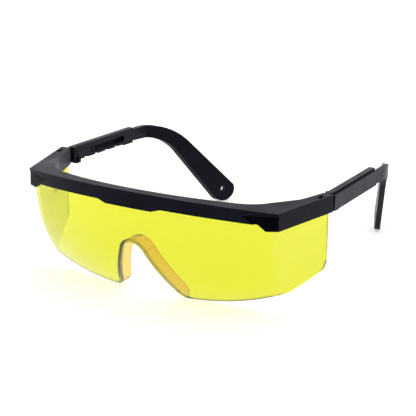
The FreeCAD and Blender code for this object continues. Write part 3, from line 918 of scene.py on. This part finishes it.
    def seat(self) -> Matrix:
        """Find the turn and shift from the front's frame to the model's.

        Returns:
            The matrix.
        """
        joints = {joint["name"]: joint for joint in frame["joints"]}
        tilt = joints["tilt_left"]["pos_m"]
        axis = Vector((0.0, self.tilt_back, -self.tilt_depth))
        return (
            Matrix.Translation(Vector((0.0, tilt[1], tilt[2])))
            @ Matrix.Rotation(self.pitch, 4, "X")
            @ Matrix.Translation(-axis)
        )

    def build(
        self, materials: dict[Finish, bpy.types.Material]
    ) -> bpy.types.Object:
        """Make the lens and put it in its place.

        Args:
            materials: The material of each finish.

        Returns:
            The finished object.
        """
        shape = self.sheet()
        self.add_rim(shape)
        self.paint_amber(shape)
        for face in shape.faces:
            face.smooth = True
        shape.transform(self.seat())
        piece = link_mesh("lens_moulding", shape)
        wall = piece.modifiers.new("wall", "SOLIDIFY")
        wall.thickness = self.thickness
        wall.offset = -1.0
        wall.use_even_offset = True
        # The cut edge takes the edge finish, painted dark as shade.
        wall.material_offset_rim = 1
        rounding = piece.modifiers.new("polished_edge", "BEVEL")
        rounding.width = self.edge
        rounding.segments = self.edge_steps
        rounding.limit_method = "ANGLE"
        rounding.angle_limit = self.edge_angle
        normals = piece.modifiers.new("even_normals", "WEIGHTED_NORMAL")
        normals.keep_sharp = True
        place_piece(
            piece, materials[Finish.LENS], "front", "lens"
        )
        piece.data.materials.append(materials[Finish.LENS_EDGE])
        piece.visible_shadow = False
        return piece


@dataclass
class BrowFrame(MouldedPiece):
    """The brow frame, whose sunk corner faces are polished in the mould and painted darker as
    shade.
    """

    node: str = "brow_frame"
    body: str = "front"
    slot: str = "frame_black"
    finish: Finish = Finish.FRAME
    lens: Lens = field(default_factory=Lens)
    recess_start: float = 50.5 * MM
    recess_depth: float = 0.85 * MM
    depth_room: float = 0.3 * MM
    # The Y of a face's normal, which is -1 where it looks straight forwards.
    least_forward: float = -0.5

    def build(
        self, materials: dict[Finish, bpy.types.Material]
    ) -> bpy.types.Object:
        """Finish the frame as any moulded piece, with a second, polished finish whose darker
        colour is painted shade.

        Args:
            materials: The material of each finish.

        Returns:
            The finished object.
        """
        piece = super().build(materials)
        piece.data.materials.append(materials[Finish.RECESS])
        return piece

    def pick_polished_and_shaded(self, shape: bmesh.types.BMesh) -> None:
        """Mark the sunk faces of both corners for the polished finish and its painted shade.

        Args:
            shape: The frame with its edges rounded.
        """
        lens = self.lens
        back = lens.seat().inverted()
        for face in shape.faces:
            spot = back @ face.calc_center_median()
            out = abs(spot.x)
            in_corner = self.recess_start < out < lens.front_half
            if not in_corner or face.normal.y > self.least_forward:
                continue
            sunk = spot.y - (lens.front_at(out, 0.0) - lens.inset)
            if abs(sunk - self.recess_depth) < self.depth_room:
                # The sunk faces take the polished finish, painted darker as shade.
                face.material_index = 1


@dataclass
class Temple:
    """One temple: hinge block, pin, rail and tip, each with its own edges."""

    side: Side
    block_edge: float = 0.12 * MM
    pin_edge: float = 0.1 * MM
    rail_edge: float = 0.16 * MM
    tip_edge: float = 0.3 * MM

    def build(
        self, materials: dict[Finish, bpy.types.Material]
    ) -> list[bpy.types.Object]:
        """Finish the temple's pieces.

        Args:
            materials: The material of each finish.

        Returns:
            The finished objects.
        """
        side = self.side.value
        rows = (
            ("hinge_block", "block", "block_black", Finish.BLOCK, self.block_edge),
            ("hinge_pin", "rail", "pin_steel", Finish.PIN, self.pin_edge),
            ("temple_rail", "rail", "temple_black", Finish.TEMPLE, self.rail_edge),
            ("temple_tip", "tip", "temple_black", Finish.TEMPLE, self.tip_edge),
        )
        return [
            MouldedPiece(
                f"{node}_{side}", f"{body}_{side}", slot, finish, edge
            ).build(materials)
            for node, body, slot, finish, edge in rows
        ]


# ---- studio ----------------------------------------------------------------


@dataclass(frozen=True)
class SoftLamp:
    """A square soft light: its place, the length of a side and its power."""

    name: str
    place: tuple[float, float, float]
    size: float
    watts: float


@dataclass
class Studio:
    """Pale floor, soft light and the camera."""

    azimuth: float = math.radians(28.95)
    elevation: float = math.radians(16.53)
    roll: float = math.radians(1.754)
    distance: float = 0.7808
    target: tuple[float, float, float] = (-0.0066, -0.0045, 0.0235)
    focal_length: float = 138.2
    nearest: float = 0.01
    farthest: float = 50.0
    floor_half: float = 4.0
    floor_gap: float = 0.1 * MM
    floor_colour: str = "#FAFAFA"
    floor_glow: float = 0.42
    white: str = "#FFFFFF"
    grey_in_front: float = 0.3
    white_behind: float = 0.95
    fade_half: float = 0.5
    lamps: tuple[SoftLamp, ...] = (
        SoftLamp("overhead", (0.0, 0.3, 1.5), 1.6, 5.0),
        SoftLamp("left_side", (-0.9, 0.1, 0.6), 0.5, 1.5),
    )

    def camera(self) -> None:
        """Stand the camera a little above the glasses, to their left."""
        level = math.cos(self.elevation)
        back = Vector((
            math.sin(self.azimuth) * level,
            -math.cos(self.azimuth) * level,
            math.sin(self.elevation),
        ))
        camera = bpy.data.objects.new("camera", bpy.data.cameras.new("camera"))
        camera.data.lens = self.focal_length
        camera.data.clip_start = self.nearest
        camera.data.clip_end = self.farthest
        camera.location = Vector(self.target) + back * self.distance
        camera.rotation_mode = "QUATERNION"
        camera.rotation_quaternion = back.to_track_quat("Z", "Y") @ Quaternion(
            (0.0, 0.0, 1.0), self.roll
        )
        bpy.context.scene.collection.objects.link(camera)
        bpy.context.scene.camera = camera

    def floor(self) -> None:
        """Lay the floor under the lowest point of the glasses."""
        shape = bmesh.new()
        bmesh.ops.create_grid(
            shape, x_segments=1, y_segments=1, size=self.floor_half
        )
        height = CAD_BOX[0].z - self.floor_gap
        bmesh.ops.translate(shape, verts=shape.verts, vec=(0.0, 0.0, height))
        floor = link_mesh("floor", shape)
        # Matt white board: soft and even, and lit a little from within, so that
        # it stays white under the glasses.
        material, tree = empty_material("matt_white_board")
        shader = add_node(
            tree, "ShaderNodeBsdfPrincipled", None,
            {
                "Base Color": linear(self.floor_colour), "Roughness": 0.9,
                "Specular IOR Level": 0.1, "Emission Color": linear(self.white),
                "Emission Strength": self.floor_glow,
            },
        )
        add_node(
            tree, "ShaderNodeOutputMaterial", None,
            {"Surface": shader.outputs["BSDF"]},
        )
        floor.data.materials.append(material)

    def hang(self, lamp: SoftLamp) -> None:
        """Hang a lamp so that it faces the glasses.

        Args:
            lamp: The lamp's sizes.
        """
        light = bpy.data.lights.new(lamp.name, "AREA")
        light.shape = "SQUARE"
        light.size = lamp.size
        light.energy = lamp.watts
        hung = bpy.data.objects.new(lamp.name, light)
        hung.location = lamp.place
        hung.rotation_mode = "QUATERNION"
        aim = Vector(self.target) - Vector(lamp.place)
        hung.rotation_quaternion = aim.to_track_quat("-Z", "Y")
        bpy.context.scene.collection.objects.link(hung)

    def sky(self) -> None:
        """Make the surroundings white behind the glasses and grey in front."""
        world = bpy.data.worlds.new("studio")
        world.use_nodes = True
        tree = world.node_tree
        tree.nodes.clear()
        place = add_node(tree, "ShaderNodeTexCoord").outputs["Generated"]
        split = add_node(tree, "ShaderNodeSeparateXYZ", None, {"Vector": place})
        shade = add_node(
            tree, "ShaderNodeMapRange", {"interpolation_type": "SMOOTHSTEP"},
            {
                "Value": split.outputs["Y"],
                "From Min": -self.fade_half, "From Max": self.fade_half,
                "To Min": self.grey_in_front, "To Max": self.white_behind,
            },
        ).outputs["Result"]
        light = add_node(
            tree, "ShaderNodeBackground", None,
            {"Color": linear(self.white), "Strength": shade},
        )
        add_node(
            tree, "ShaderNodeOutputWorld", None,
            {"Surface": light.outputs["Background"]},
        )
        bpy.context.scene.world = world

    def build(self) -> None:
        """Set up the whole studio."""
        self.floor()
        self.sky()
        for lamp in self.lamps:
            self.hang(lamp)
        self.camera()
        bpy.context.scene.view_settings.view_transform = "Standard"


def main() -> None:
    """Build every piece and the studio, and report them."""
    logging.basicConfig(level=logging.INFO, format="%(name)s: %(message)s")
    materials = {key: finish.material() for key, finish in FINISHES.items()}
    lens = Lens()
    made = [BrowFrame(lens=lens).build(materials), lens.build(materials)]
    for side in Side:
        made += Temple(side).build(materials)
    for piece in made:
        LOG.info("%s: %d faces", piece.name, len(piece.data.polygons))
    Studio().build()


if __name__ == "__main__":
    main()
